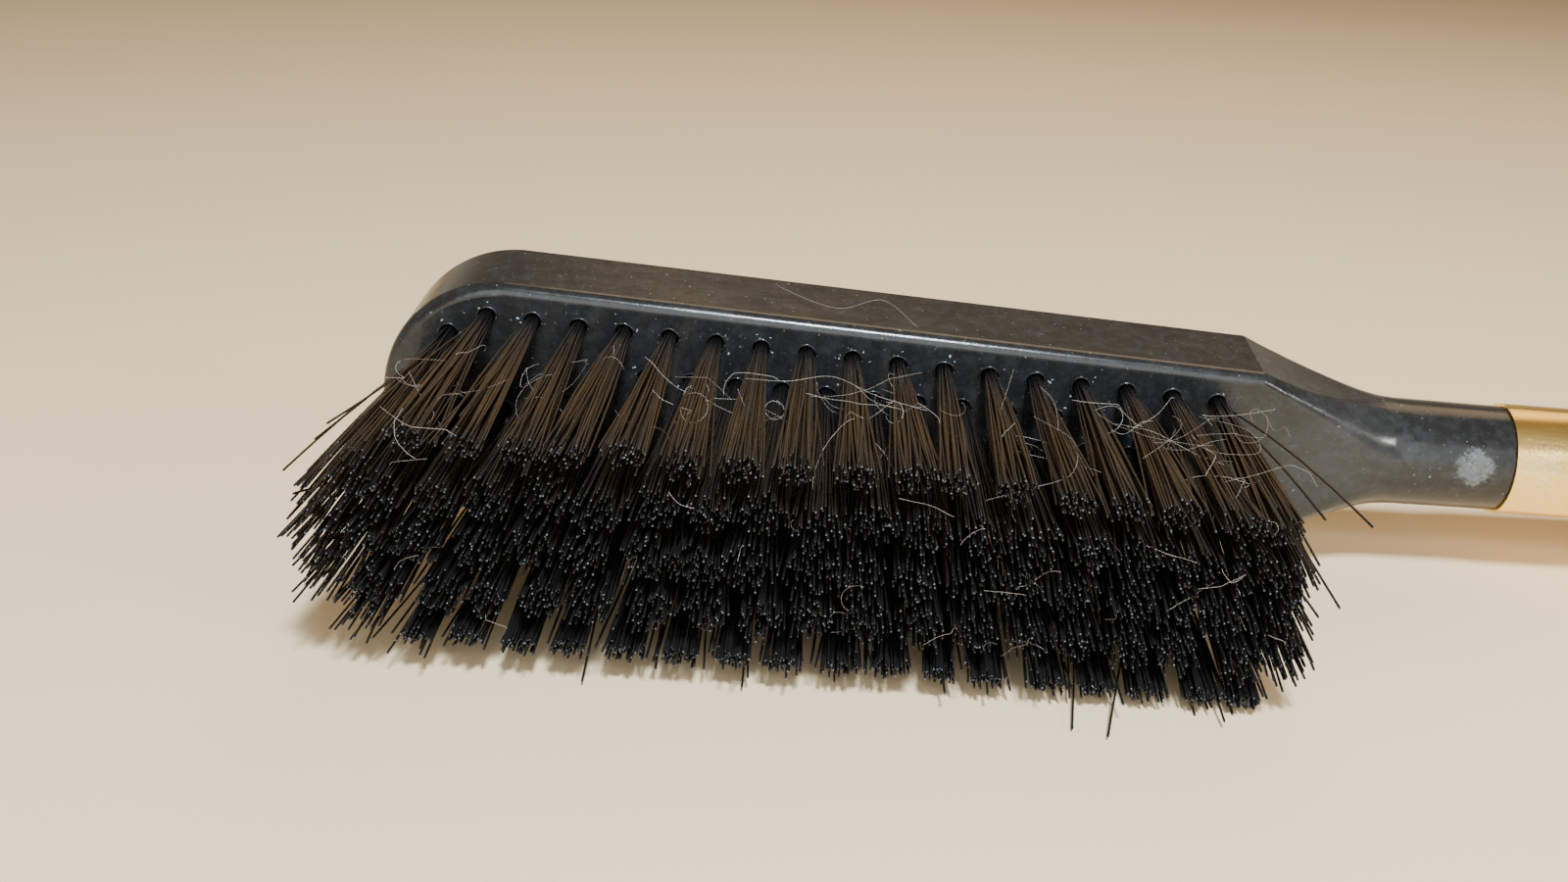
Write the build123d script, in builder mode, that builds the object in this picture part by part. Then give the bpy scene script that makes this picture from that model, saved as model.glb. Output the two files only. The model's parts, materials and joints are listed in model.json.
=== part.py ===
from build123d import *
from math import asin, atan2, cos, degrees, hypot, radians, sin
import os

# A long-handled fireside hand brush. A moulded block carries rows of bristle tufts, and its
# neck is clamped to a metal tube by a tie rod, which a hanging eye pulls tight at the far end.
#
# Every piece is drawn in the brush's own axes, in millimetres: X runs along the handle from
# the toe of the block, Y runs across the block, and Z points the way the bristles grow from
# the block's face, which lies at Z = 0. At the end the whole brush is laid on its side on the
# floor, where it touches at the block, at the lowest tufts and at the end cap.

# ---- block and neck ----
TOE_WIDTH = 47.0
HEEL_WIDTH = 34.0
BLOCK_THICKNESS = 20.0
TOE_LENGTH = 22.4            # from the tip of the toe to where the straight sides begin
BLOCK_LENGTH = 155.0         # from the tip of the toe to the corner where the shoulders begin
SHOULDER_LENGTH = 27.0
NECK_LENGTH = 20.0           # round part, from the shoulders to the handle tube
NECK_SET_BACK = 0.5          # how far the neck's end lies under the tube's outside
NECK_TAPER = 0.2             # how much thicker the neck is at the shoulders, on the radius
NECK_RIM = 0.2
EDGE_RADIUS = 2.0
NECK_STEP = 0.05             # where the shoulders meet the neck, on the radius

# (share of the shoulders' length, share of the block's width still over the neck's,
#  corner radius as a share of the neck's)
SHOULDER_SECTIONS = ((0.25, 0.62, 0.28), (0.5, 0.32, 0.46), (0.75, 0.1, 0.76), (0.9, 0.02, 0.93))

# ---- tufts ----
TUFT_LENGTH = 50.0           # bristle length outside the block
TUFT_SEAT_DEPTH = 8.0
TUFT_ROOT_DIAMETER = 3.0
TUFT_TIP_DIAMETER = 5.5
TUFT_PITCH = 8.0
TUFT_EDGE_INSET = 6.0        # from the block's edge to the outermost row
TUFT_HEEL_INSET = 3.0        # from the corner of the shoulders to the last tuft, at the least
OUTER_ROW_LEAD = 2.9         # how far the outer rows start before the straight sides
ROW_COUNT = 5
TOE_TUFTS = 5
TIP_SPREAD = 32.0            # between the outer rows' tips, which run parallel
TOE_LEAN = 2.5               # how far a tuft at the tip of the toe leans towards the toe
HEEL_LEAN = 1.0              # and one at the heel towards the handle
HOLE_CLEARANCE = 0.05        # round a tuft or an anchor, on the radius
ANCHOR_HEIGHT = 1.6
ANCHOR_THICKNESS = 0.4

# ---- handle ----
TUBE_DIAMETER = 20.0
TUBE_WALL = 0.8
TUBE_LENGTH = 240.0
SPIGOT_LENGTH = 30.0
SPIGOT_CLEARANCE = 0.05
SPIGOT_CHAMFER = 1.0
ROD_DIAMETER = 5.0
ROD_CHAMFER = 0.6
ROD_CLEARANCE = 0.25
THREAD_CLEARANCE = 0.05
INSERT_DIAMETER = 8.5
INSERT_FLANGE_DIAMETER = 10.5
INSERT_FLANGE_HEIGHT = 1.5
INSERT_LENGTH = 14.0
ROD_END_GAP = 2.0            # from the rod's end to the bottom of a threaded hole

# ---- end cap, eye and ring ----
CAP_OVERHANG = 1.0           # over the tube's outside
CAP_LENGTH = 15.0
CAP_SPIGOT_LENGTH = 20.0
CAP_SEAT_MARGIN = 0.75       # flat rim left round the washer
CAP_EDGE_RADIUS = 0.8
WASHER_DIAMETER = 10.5
WASHER_THICKNESS = 1.0
BOSS_DIAMETER = 9.0
BOSS_LENGTH = 9.0
EYE_DIAMETER = 12.0
EYE_THICKNESS = 4.0
EYE_EDGE_RADIUS = 0.8
EYE_SINK = 0.8               # how far the eye's disc runs into the end of its boss
RING_WIRE_DIAMETER = 3.0
RING_CLEARANCE = 0.5         # between the wire and the eye's hole, on the radius
RING_DIAMETER = 32.0         # through the middle of the wire
RING_FLOOR_GAP = 0.1

# ---- stations along the handle ----
axis_depth = BLOCK_THICKNESS / 2
shoulder_end = BLOCK_LENGTH + SHOULDER_LENGTH
neck_end = shoulder_end + NECK_LENGTH
spigot_end = neck_end + SPIGOT_LENGTH
tube_end = neck_end + TUBE_LENGTH
cap_end = tube_end + CAP_LENGTH
washer_end = cap_end + WASHER_THICKNESS
boss_end = washer_end + BOSS_LENGTH
eye_centre = boss_end + EYE_DIAMETER / 2 - EYE_SINK
insert_start = spigot_end - INSERT_LENGTH
rod_start = insert_start + ROD_END_GAP
rod_end = boss_end - EYE_SINK - ROD_END_GAP
spigot_diameter = TUBE_DIAMETER - 2 * TUBE_WALL - 2 * SPIGOT_CLEARANCE
tuft_hole_diameter = TUFT_ROOT_DIAMETER + 2 * HOLE_CLEARANCE
neck_end_diameter = TUBE_DIAMETER - 2 * NECK_SET_BACK
neck_diameter = neck_end_diameter + 2 * NECK_TAPER
neck_step_diameter = neck_diameter + 2 * NECK_STEP
cap_diameter = TUBE_DIAMETER + 2 * CAP_OVERHANG
cap_dome_radius = (cap_diameter - WASHER_DIAMETER) / 2 - CAP_SEAT_MARGIN
rod_bore_diameter = ROD_DIAMETER + 2 * ROD_CLEARANCE
thread_diameter = ROD_DIAMETER + 2 * THREAD_CLEARANCE


def across(station):
    """The plane square to the handle at this distance from the toe, centred on the tube."""
    return Plane(origin=(station, 0, -axis_depth), x_dir=(0, 1, 0), z_dir=(1, 0, 0))


tube_axis = Axis((0, 0, -axis_depth), (1, 0, 0))
lathe = Plane(origin=(0, 0, -axis_depth), x_dir=(1, 0, 0), z_dir=(0, -1, 0))


def half_width(station):
    """Half of the block's width where its sides are straight."""
    share = (station - TOE_LENGTH) / (BLOCK_LENGTH - TOE_LENGTH)
    return (TOE_WIDTH + (HEEL_WIDTH - TOE_WIDTH) * share) / 2


# ---- where each tuft stands and how it leans ----
toe_reach = TOE_LENGTH - TUFT_EDGE_INSET
toe_spread = TOE_WIDTH / 2 - TUFT_EDGE_INSET
outer_start = TOE_LENGTH - OUTER_ROW_LEAD
outer_start_angle = degrees(atan2(toe_spread, outer_start - TOE_LENGTH))


def tuft_plane(station, offset):
    """A plane on the block's face at a tuft's root, with its Z along the leaning tuft."""
    root_reach = half_width(max(station, TOE_LENGTH)) - TUFT_EDGE_INSET
    side_lean = offset * (TIP_SPREAD / 2 / root_reach - 1)
    share = station / (BLOCK_LENGTH / 2) - 1
    end_lean = share * (TOE_LEAN if share < 0 else HEEL_LEAN)
    lean = Vector(end_lean, side_lean, TUFT_LENGTH)
    return Plane(origin=(station, offset, 0), x_dir=(lean.Z, 0, -lean.X), z_dir=lean)


def row_planes(width_share, first):
    """A straight row that keeps its share of the block's tapering width, up to the heel."""
    count = int((BLOCK_LENGTH - TUFT_HEEL_INSET - first) // TUFT_PITCH) + 1
    stations = [first + TUFT_PITCH * place for place in range(count)]
    return [tuft_plane(s, width_share * (half_width(s) - TUFT_EDGE_INSET)) for s in stations]


middle_start = TUFT_EDGE_INSET + TUFT_PITCH
inner_start = outer_start - TUFT_PITCH / 2
tuft_rows = {}
for row in range(ROW_COUNT):
    share = 1 - 2 * row / (ROW_COUNT - 1)
    if abs(share) == 1:
        planes = row_planes(share, outer_start)
    elif share == 0:
        planes = row_planes(share, middle_start)
    else:
        planes = row_planes(share, inner_start)
    tuft_rows[f"tuft_row_{row + 1}"] = planes

toe_planes = []
for place in range(1, TOE_TUFTS + 1):
    turn = outer_start_angle + (360 - 2 * outer_start_angle) * place / (TOE_TUFTS + 1)
    station = TOE_LENGTH + toe_reach * cos(radians(turn))
    toe_planes.append(tuft_plane(station, toe_spread * sin(radians(turn))))
tuft_rows["toe_tufts"] = toe_planes

# ---- block, shoulders, neck and spigot: one moulding ----
with BuildPart() as half_ellipse:
    with BuildSketch(Plane.XY):
        Ellipse(TOE_LENGTH, TOE_WIDTH / 2)
        split(bisect_by=Plane.YZ, keep=Keep.BOTTOM)
    extrude(amount=-BLOCK_THICKNESS)
    fillet(half_ellipse.edges().filter_by(GeomType.ELLIPSE), EDGE_RADIUS)

with BuildPart() as brush_head:
    with Locations((TOE_LENGTH, 0, 0)):
        add(half_ellipse.part)
    with BuildSketch(across(TOE_LENGTH)):
        RectangleRounded(TOE_WIDTH, BLOCK_THICKNESS, EDGE_RADIUS)
    with BuildSketch(across(BLOCK_LENGTH)):
        RectangleRounded(HEEL_WIDTH, BLOCK_THICKNESS, EDGE_RADIUS)
    loft(ruled=True)
    with BuildSketch(across(BLOCK_LENGTH)):
        RectangleRounded(HEEL_WIDTH, BLOCK_THICKNESS, EDGE_RADIUS)
    for share, width_share, roundness in SHOULDER_SECTIONS:
        width = neck_diameter + (HEEL_WIDTH - neck_diameter) * width_share
        height = neck_diameter + (BLOCK_THICKNESS - neck_diameter) * width_share
        with BuildSketch(across(BLOCK_LENGTH + SHOULDER_LENGTH * share)):
            RectangleRounded(width, height, roundness * neck_diameter / 2)
    with BuildSketch(across(shoulder_end)):
        RectangleRounded(neck_step_diameter, neck_step_diameter, neck_diameter / 2)
    loft()
    with BuildSketch(lathe):
        with BuildLine():
            Polyline(
                (shoulder_end, 0),
                (shoulder_end, neck_diameter / 2),
                (neck_end - NECK_RIM, neck_end_diameter / 2),
                (neck_end, neck_end_diameter / 2 - NECK_RIM),
                (neck_end, spigot_diameter / 2),
                (spigot_end - SPIGOT_CHAMFER, spigot_diameter / 2),
                (spigot_end, spigot_diameter / 2 - SPIGOT_CHAMFER),
                (spigot_end, 0),
                close=True,
            )
        make_face()
    revolve(axis=tube_axis)
    with Locations(across(spigot_end)):
        Hole(INSERT_DIAMETER / 2, depth=INSERT_LENGTH)
    with Locations(across(spigot_end)):
        Hole(INSERT_FLANGE_DIAMETER / 2, depth=INSERT_FLANGE_HEIGHT)
    for planes in tuft_rows.values():
        with Locations(*[plane.location for plane in planes]):
            Hole(tuft_hole_diameter / 2, depth=TUFT_SEAT_DEPTH + ANCHOR_HEIGHT)
pieces = {"brush_head": brush_head}

# ---- tufts, each folded round a flat anchor at the bottom of its hole ----
with BuildPart() as tuft:
    with BuildSketch(Plane.XZ):
        with BuildLine():
            Polyline(
                (0, -TUFT_SEAT_DEPTH),
                (TUFT_ROOT_DIAMETER / 2, -TUFT_SEAT_DEPTH),
                (TUFT_ROOT_DIAMETER / 2, 0),
                (TUFT_TIP_DIAMETER / 2, TUFT_LENGTH),
                (0, TUFT_LENGTH),
                close=True,
            )
        make_face()
    revolve(axis=Axis.Z)

with BuildPart() as anchor:
    with BuildSketch(Plane.XY.offset(-TUFT_SEAT_DEPTH)):
        Rectangle(TUFT_ROOT_DIAMETER, ANCHOR_THICKNESS)
    extrude(amount=-ANCHOR_HEIGHT)

for row_name, planes in tuft_rows.items():
    places = [plane.location for plane in planes]
    with BuildPart() as tufts:
        with Locations(*places):
            add(tuft.part)
    with BuildPart() as anchors:
        with Locations(*places):
            add(anchor.part)
    pieces[row_name] = tufts
    pieces[row_name + "_anchors"] = anchors

# ---- tube, and the rod that pulls it against the neck ----
with BuildPart() as handle_tube:
    with BuildSketch(across(neck_end)):
        Circle(TUBE_DIAMETER / 2)
        Circle(TUBE_DIAMETER / 2 - TUBE_WALL, mode=Mode.SUBTRACT)
    extrude(amount=TUBE_LENGTH)
pieces["handle_tube"] = handle_tube

with BuildPart() as threaded_insert:
    with BuildSketch(across(spigot_end)):
        Circle(INSERT_DIAMETER / 2)
    extrude(amount=-INSERT_LENGTH)
    with BuildSketch(across(spigot_end)):
        Circle(INSERT_FLANGE_DIAMETER / 2)
    extrude(amount=-INSERT_FLANGE_HEIGHT)
    with Locations(across(spigot_end)):
        Hole(thread_diameter / 2, depth=spigot_end - rod_start)
pieces["threaded_insert"] = threaded_insert

with BuildPart() as tie_rod:
    with BuildSketch(across(rod_start)):
        Circle(ROD_DIAMETER / 2)
    extrude(amount=rod_end - rod_start)
    chamfer(tie_rod.edges(), ROD_CHAMFER)
pieces["tie_rod"] = tie_rod

# ---- end cap, washer and eye ----
with BuildPart() as end_cap:
    with BuildSketch(across(tube_end)):
        Circle(cap_diameter / 2)
    extrude(amount=CAP_LENGTH)
    fillet(end_cap.edges().group_by(Axis.X)[-1], cap_dome_radius)
    fillet(end_cap.edges().group_by(Axis.X)[0], CAP_EDGE_RADIUS)
    with BuildSketch(across(tube_end)):
        Circle(spigot_diameter / 2)
    extrude(amount=-CAP_SPIGOT_LENGTH)
    chamfer(end_cap.edges().group_by(Axis.X)[0], SPIGOT_CHAMFER)
    with Locations(across(cap_end)):
        Hole(rod_bore_diameter / 2)
pieces["end_cap"] = end_cap

with BuildPart() as cap_washer:
    with BuildSketch(across(cap_end)):
        Circle(WASHER_DIAMETER / 2)
        Circle(rod_bore_diameter / 2, mode=Mode.SUBTRACT)
    extrude(amount=WASHER_THICKNESS)
pieces["cap_washer"] = cap_washer

eye_plane = Plane(origin=(eye_centre, 0, -axis_depth))
with BuildPart() as hanging_eye:
    with BuildSketch(eye_plane):
        Circle(EYE_DIAMETER / 2)
    extrude(amount=EYE_THICKNESS / 2, both=True)
    fillet(hanging_eye.edges().filter_by(GeomType.CIRCLE), EYE_EDGE_RADIUS)
    with BuildSketch(across(washer_end)):
        Circle(BOSS_DIAMETER / 2)
    extrude(amount=BOSS_LENGTH)
    with Locations(eye_plane):
        Hole(RING_WIRE_DIAMETER / 2 + RING_CLEARANCE)
    with BuildSketch(across(washer_end)):
        Circle(thread_diameter / 2)
    extrude(amount=rod_end - washer_end, mode=Mode.SUBTRACT)
pieces["hanging_eye"] = hanging_eye

# ---- how the brush lies on the floor ----
# The roll puts the block's lower edge and the lowest tuft tips on one level, and the pitch
# brings the end cap down to the same level. Tips that stand inside the block's width leave it
# on the edge of its face, and tips that stand outside leave it on its back edge.
ring_radius = RING_DIAMETER / 2
wire_radius = RING_WIRE_DIAMETER / 2
tip_offset = (TIP_SPREAD + TUFT_TIP_DIAMETER) / 2
edge_depth = EDGE_RADIUS
if tip_offset > TOE_WIDTH / 2:
    edge_depth = BLOCK_THICKNESS - EDGE_RADIUS
edge_rise = TOE_WIDTH / 2 - EDGE_RADIUS - tip_offset
edge_run = TUFT_LENGTH + edge_depth
roll = -asin(EDGE_RADIUS / hypot(edge_rise, edge_run)) - atan2(edge_rise, edge_run)
edge_drop = (TOE_WIDTH / 2 - EDGE_RADIUS) * cos(roll) + EDGE_RADIUS
edge_drop += edge_depth * sin(roll)
cap_drop = cap_diameter / 2 + axis_depth * sin(roll)
pitch = atan2(edge_drop - cap_drop, tube_end + CAP_EDGE_RADIUS - TOE_LENGTH)
laid = Location((0, 0, 0), (90 - degrees(roll), 0, 0))
laid = Location((0, 0, 0), (0, degrees(pitch), 0)) * laid

# The ring hangs from the eye until its far side is just above the floor.
up_along, up_across, up_out = -sin(pitch), cos(pitch) * cos(roll), cos(pitch) * sin(roll)
floor_level = up_along * (tube_end + CAP_EDGE_RADIUS) - up_out * axis_depth
floor_level -= cap_diameter / 2 * cos(pitch)
eye_level = up_along * eye_centre - up_out * axis_depth
room = eye_level - floor_level - wire_radius - RING_FLOOR_GAP
ring_fall = (room**2 - (ring_radius * up_out) ** 2) / (2 * ring_radius * room)
droop = asin(ring_fall / hypot(up_along, up_across)) - atan2(-up_along, up_across)
ring_out = Vector(cos(droop), -sin(droop), 0)

eye_point = Vector(eye_centre, 0, -axis_depth)
ring_plane = Plane(origin=eye_point, x_dir=ring_out, z_dir=(ring_out.Y, -ring_out.X, 0))
with BuildPart() as hanging_ring:
    with BuildSketch(Plane(origin=eye_point, x_dir=ring_out, z_dir=(0, 0, 1))):
        Circle(wire_radius)
    revolve(axis=Axis(eye_point + ring_out * ring_radius, ring_plane.z_dir))
pieces["hanging_ring"] = hanging_ring

# ---- laid on the floor, centred over the origin, and written out ----
lying = {name: laid * piece.part for name, piece in pieces.items()}
box = Compound(children=list(lying.values())).bounding_box()
centred = Location((-box.center().X, -box.center().Y, -box.min.Z))
brush_to_row = centred * laid

os.makedirs("parts", exist_ok=True)
for name, piece in pieces.items():
    placed = brush_to_row * piece.part
    placed.label = name
    export_step(placed, f"parts/{name}.step")
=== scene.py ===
"""The look of a long-handled hand brush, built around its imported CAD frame.

The brush lies on its side. Places on it are given in the brush's own axes, in metres, worked
out from the frame: `along` runs from the tip of the toe to the ring, `across` runs over the
block's width, and `out` is how far something stands above the face that the bristles grow from.
"""
import json
import math

import bpy
import numpy as np
from mathutils import Matrix, Vector

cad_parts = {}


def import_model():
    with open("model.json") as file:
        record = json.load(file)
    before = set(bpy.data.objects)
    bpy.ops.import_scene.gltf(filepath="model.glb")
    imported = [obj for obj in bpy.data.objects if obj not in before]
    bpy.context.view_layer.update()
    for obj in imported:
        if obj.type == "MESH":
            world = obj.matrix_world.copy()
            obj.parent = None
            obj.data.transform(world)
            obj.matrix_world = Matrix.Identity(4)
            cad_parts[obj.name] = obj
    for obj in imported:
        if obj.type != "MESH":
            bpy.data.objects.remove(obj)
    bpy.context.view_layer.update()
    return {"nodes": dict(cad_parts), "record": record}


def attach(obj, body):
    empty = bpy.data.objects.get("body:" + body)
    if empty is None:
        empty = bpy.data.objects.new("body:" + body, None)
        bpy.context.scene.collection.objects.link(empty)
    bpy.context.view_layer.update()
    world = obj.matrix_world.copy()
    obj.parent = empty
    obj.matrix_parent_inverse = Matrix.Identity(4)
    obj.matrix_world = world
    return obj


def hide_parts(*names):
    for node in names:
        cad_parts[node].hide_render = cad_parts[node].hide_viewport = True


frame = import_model()

MM = 0.001
SEED = 7
rng = np.random.default_rng(SEED)

# ---------------------------------------------------------------- the brush's own axes
mounts = {mount["name"]: mount for mount in frame["record"]["mounts"]}
ALONG = np.array(mounts["handle_grip"]["axis"], float)
OUT = -np.array(mounts["back_face"]["axis"], float)
ACROSS = np.cross(OUT, ALONG)
AXES = np.array([ALONG, ACROSS, OUT])
TUBE_MIDDLE = np.array(mounts["handle_grip"]["pos_m"], float)
TUBE_RADIUS = mounts["handle_grip"]["dims"]["r_mm"] * MM
TUBE_LENGTH = mounts["handle_grip"]["dims"]["length_mm"] * MM


def vertices_of(mesh):
    """A mesh's vertices as an array of points."""
    points = np.empty(len(mesh.vertices) * 3)
    mesh.vertices.foreach_get("co", points)
    return points.reshape(-1, 3)


head_reach = (vertices_of(frame["nodes"]["brush_head"].data) - TUBE_MIDDLE) @ AXES.T
FACE_LEVEL = head_reach[:, 2].max()
ORIGIN = TUBE_MIDDLE + ALONG * head_reach[:, 0].min() + OUT * FACE_LEVEL
NECK_END = (TUBE_MIDDLE - ORIGIN) @ ALONG - TUBE_LENGTH / 2


def world(points):
    """Points given as (along, across, out) in metres, in the frame's own axes."""
    return np.asarray(points, float) @ AXES + ORIGIN


def local(points):
    """The way back: frame points as (along, across, out)."""
    return (np.asarray(points, float) - ORIGIN) @ AXES.T


# ---------------------------------------------------------------- camera
CAMERA_PLACE = (0.0769, 0.1244, 0.2506)
CAMERA_TARGET = (0.0725, -0.0023, 0.0)
CAMERA_ROLL = math.radians(3.8)
CAMERA_LENS = 36.0
CAMERA_SENSOR = 36.0
NEAREST_SEEN = 10 * MM


def add_camera():
    place = Vector(world(CAMERA_PLACE))
    ahead = (Vector(world(CAMERA_TARGET)) - place).normalized()
    right = ahead.cross(Vector(ACROSS)).normalized()
    up = right.cross(ahead)
    turn = Matrix((right, up, -ahead)).transposed().to_4x4()
    camera = bpy.data.objects.new("camera", bpy.data.cameras.new("camera"))
    camera.data.lens = CAMERA_LENS
    camera.data.sensor_width = CAMERA_SENSOR
    camera.data.clip_start = NEAREST_SEEN
    roll = Matrix.Rotation(CAMERA_ROLL, 4, "Z")
    camera.matrix_world = Matrix.Translation(place) @ turn @ roll
    bpy.context.scene.collection.objects.link(camera)
    bpy.context.scene.camera = camera


add_camera()


# ---------------------------------------------------------------- material helpers
def material(name, **values):
    """A principled material, with the values that are the same all over set on its sockets."""
    made = bpy.data.materials.new(name)
    made.use_nodes = True
    shader = made.node_tree.nodes["Principled BSDF"]
    for socket, value in values.items():
        shader.inputs[socket.replace("_", " ")].default_value = value
    return made, made.node_tree, shader


def node(tree, kind, links=(), **settings):
    """A node with its settings, and links given as (input, output socket or value)."""
    made = tree.nodes.new(kind)
    for key, value in settings.items():
        setattr(made, key, value)
    for socket, source in links:
        if isinstance(source, bpy.types.NodeSocket):
            tree.links.new(source, made.inputs[socket])
        else:
            made.inputs[socket].default_value = source
    return made


def noise(tree, scale, detail=4.0, rough=0.5, stretch=(1, 1, 1)):
    """Noise over the object's own coordinates, stretched along its axes."""
    place = node(tree, "ShaderNodeTexCoord").outputs["Object"]
    mapped = node(tree, "ShaderNodeMapping", [("Vector", place), ("Scale", stretch)])
    links = [
        ("Vector", mapped.outputs[0]), ("Scale", scale), ("Detail", detail), ("Roughness", rough),
    ]
    return node(tree, "ShaderNodeTexNoise", links).outputs["Fac"]


def ramp(tree, source, low, high, start=0.0, end=1.0):
    """Maps a value from between low and high to between start and end, and clamps it."""
    links = [
        ("Value", source), ("From Min", low), ("From Max", high),
        ("To Min", start), ("To Max", end),
    ]
    return node(tree, "ShaderNodeMapRange", links).outputs[0]


# Where a mix node keeps its share, its two colours and the colour that comes out.
MIX_SHARE, MIX_FIRST, MIX_SECOND, MIX_RESULT = 0, 6, 7, 2


def mix(tree, share, first, second):
    """Two colours mixed by a share."""
    made = node(
        tree, "ShaderNodeMix", [(MIX_SHARE, share), (MIX_FIRST, first), (MIX_SECOND, second)],
        data_type="RGBA",
    )
    return made.outputs[MIX_RESULT]


def calc(tree, operation, first, second=0.0):
    """One step of arithmetic."""
    made = node(tree, "ShaderNodeMath", [(0, first), (1, second)], operation=operation)
    return made.outputs[0]


def total(tree, first, *others):
    """Values added up."""
    for other in others:
        first = calc(tree, "ADD", first, other)
    return first


def product(tree, first, second):
    return calc(tree, "MULTIPLY", first, second)


def distance_from(tree, place):
    """How far the surface is from a point that is given in the brush's axes."""
    here = node(tree, "ShaderNodeTexCoord").outputs["Object"]
    links = [(0, here), (1, world(place))]
    return node(tree, "ShaderNodeVectorMath", links, operation="DISTANCE").outputs["Value"]


def attribute(tree, name):
    """A value that the mesh has at each of its points."""
    return node(tree, "ShaderNodeAttribute", attribute_name=name).outputs["Fac"]


def bump(tree, shader, height, strength, distance):
    """Raises the surface by a height times a distance in metres, as strongly as strength says."""
    made = node(
        tree, "ShaderNodeBump",
        [("Height", height), ("Strength", strength), ("Distance", distance)],
    )
    tree.links.new(made.outputs[0], shader.inputs["Normal"])


# ---------------------------------------------------------------- meshes
# Rings round a path are turned from this direction, which no path follows.
RING_GUIDE = ACROSS + 0.37 * ALONG


def new_mesh(name, points, faces, smooth=True):
    """A mesh object from points in the frame's axes."""
    mesh = bpy.data.meshes.new(name)
    mesh.from_pydata(np.asarray(points).tolist(), [], [list(face) for face in faces])
    mesh.polygons.foreach_set("use_smooth", [smooth] * len(mesh.polygons))
    mesh.update()
    made = bpy.data.objects.new(name, mesh)
    bpy.context.scene.collection.objects.link(made)
    return made


def tubes(paths, radii, sides):
    """Closed round tubes along many paths at once.

    paths is (how many, points each, 3), and radii is a radius for each point of each path."""
    paths = np.asarray(paths, float)
    count, steps, _ = paths.shape
    radii = np.broadcast_to(radii, (count, steps))
    run = np.gradient(paths, axis=1)
    run /= np.linalg.norm(run, axis=2, keepdims=True)
    guide = np.cross(run[:, 0], RING_GUIDE)
    guide /= np.linalg.norm(guide, axis=1, keepdims=True)
    rings = np.empty((count, steps, sides, 3))
    turns = (2 * np.pi * np.arange(sides) / sides)[None, :, None]
    for step in range(steps):
        heading = run[:, step]
        guide = guide - heading * np.sum(guide * heading, axis=1, keepdims=True)
        guide /= np.linalg.norm(guide, axis=1, keepdims=True)
        side = np.cross(heading, guide)
        spokes = guide[:, None] * np.cos(turns) + side[:, None] * np.sin(turns)
        rings[:, step] = paths[:, step, None] + spokes * radii[:, step, None, None]
    first = np.arange(count)[:, None, None] * steps * sides
    ring = first + np.arange(steps - 1)[None, :, None] * sides
    corner = np.arange(sides)[None, None, :]
    after = (corner + 1) % sides
    quads = np.stack(np.broadcast_arrays(
        ring + corner, ring + after, ring + sides + after, ring + sides + corner,
    ), axis=-1).reshape(-1, 4)
    starts = first[:, 0] + np.arange(sides)[None, ::-1]
    ends = first[:, 0] + (steps - 1) * sides + np.arange(sides)[None]
    return rings.reshape(-1, 3), quads.tolist() + starts.tolist() + ends.tolist()


def finish_piece(piece, look):
    """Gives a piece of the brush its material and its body."""
    piece.data.materials.append(look)
    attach(piece, "brush")


def give_values(piece, name, values):
    """Gives each point of a piece a value that its material reads."""
    made = piece.data.attributes.new(name, "FLOAT", "POINT")
    made.data.foreach_set("value", np.asarray(values, float).ravel())


# ---------------------------------------------------------------- bristle material
BRISTLE_BLACK = (0.0092, 0.0088, 0.0089, 1)
# The black is the nylon's own colour; the brown is painted light, the lit brown of bristles that
# face the light.
BRISTLE_PAINTED_LIT_BROWN = (0.052, 0.028, 0.0115, 1)
# painted glint: the pale colour of some cut ends stands in for the glints on the bristle tips
TIP_PAINTED_GLINT = (0.10, 0.11, 0.125, 1)


def make_bristle_material():
    """Black nylon with painted light on it: a lit brown where bristles face the light, and pale
    cut ends that are painted glints.
    """
    made, tree, shader = material("bristle_nylon", Specular_IOR_Level=0.3)
    grain = ramp(tree, noise(tree, scale=1400, detail=3, rough=0.6), 0.35, 0.7, 0.55, 1.0)
    # the painted lit brown, made uneven by the grain
    brown = product(tree, attribute(tree, "painted_lit_brown"), grain)
    colour = mix(tree, brown, BRISTLE_BLACK, BRISTLE_PAINTED_LIT_BROWN)
    # some cut ends are pale: painted glints
    colour = mix(tree, attribute(tree, "wear_and_glint"), colour, TIP_PAINTED_GLINT)
    tree.links.new(colour, shader.inputs["Base Color"])
    tree.links.new(ramp(tree, grain, 0.55, 1.0, 0.26, 0.42), shader.inputs["Roughness"])
    return made


# ---------------------------------------------------------------- bristles
# Points of a CAD node that are this near each other are one, and those of a CAD tuft that are
# this near its ends belong to its root and its tip.
SAME_POINT = 0.002 * MM
KEPT_DECIMALS = 7
ROOT_SLICE, TIP_SLICE = 1 * MM, 1.5 * MM

BRISTLES_PER_TUFT = 58
BRISTLE_RADIUS = 0.19 * MM
BRISTLE_SIDES = 6
BRISTLE_RUN = np.array([0.0, 0.14, 0.34, 0.56, 0.78, 0.93])
CAP_HEIGHTS = np.array([0.16, 0.05, 0.0]) * MM
CAP_RADII = np.array([1.0, 0.82, 0.4])
CUT_RINGS = 2
ROOT_SINK = 0.5 * MM
FLOOR_GAP = 0.03 * MM
GOLDEN_ANGLE = math.pi * (3 - math.sqrt(5))

# How a tuft's bristles differ: in number, and in a loose tuft the share that is gone; the share
# of its hole's radius that their roots fill; and how large the tuft's end is, next to the CAD's.
COUNT_CHANGES = (-4, 5)
LOOSE_THINNING = 0.3
ROOT_FILL = 0.86
END_SIZES = (0.88, 1.1)
# How far their ends scatter, in millimetres, and how much further in a loose tuft; and the shares
# of them that scatter more, with how many times as far.
SCATTER, LOOSE_SCATTER = 0.42, 0.75
WILD_ONES = ((0.10, 3.2), (0.02, 1.8))
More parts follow.
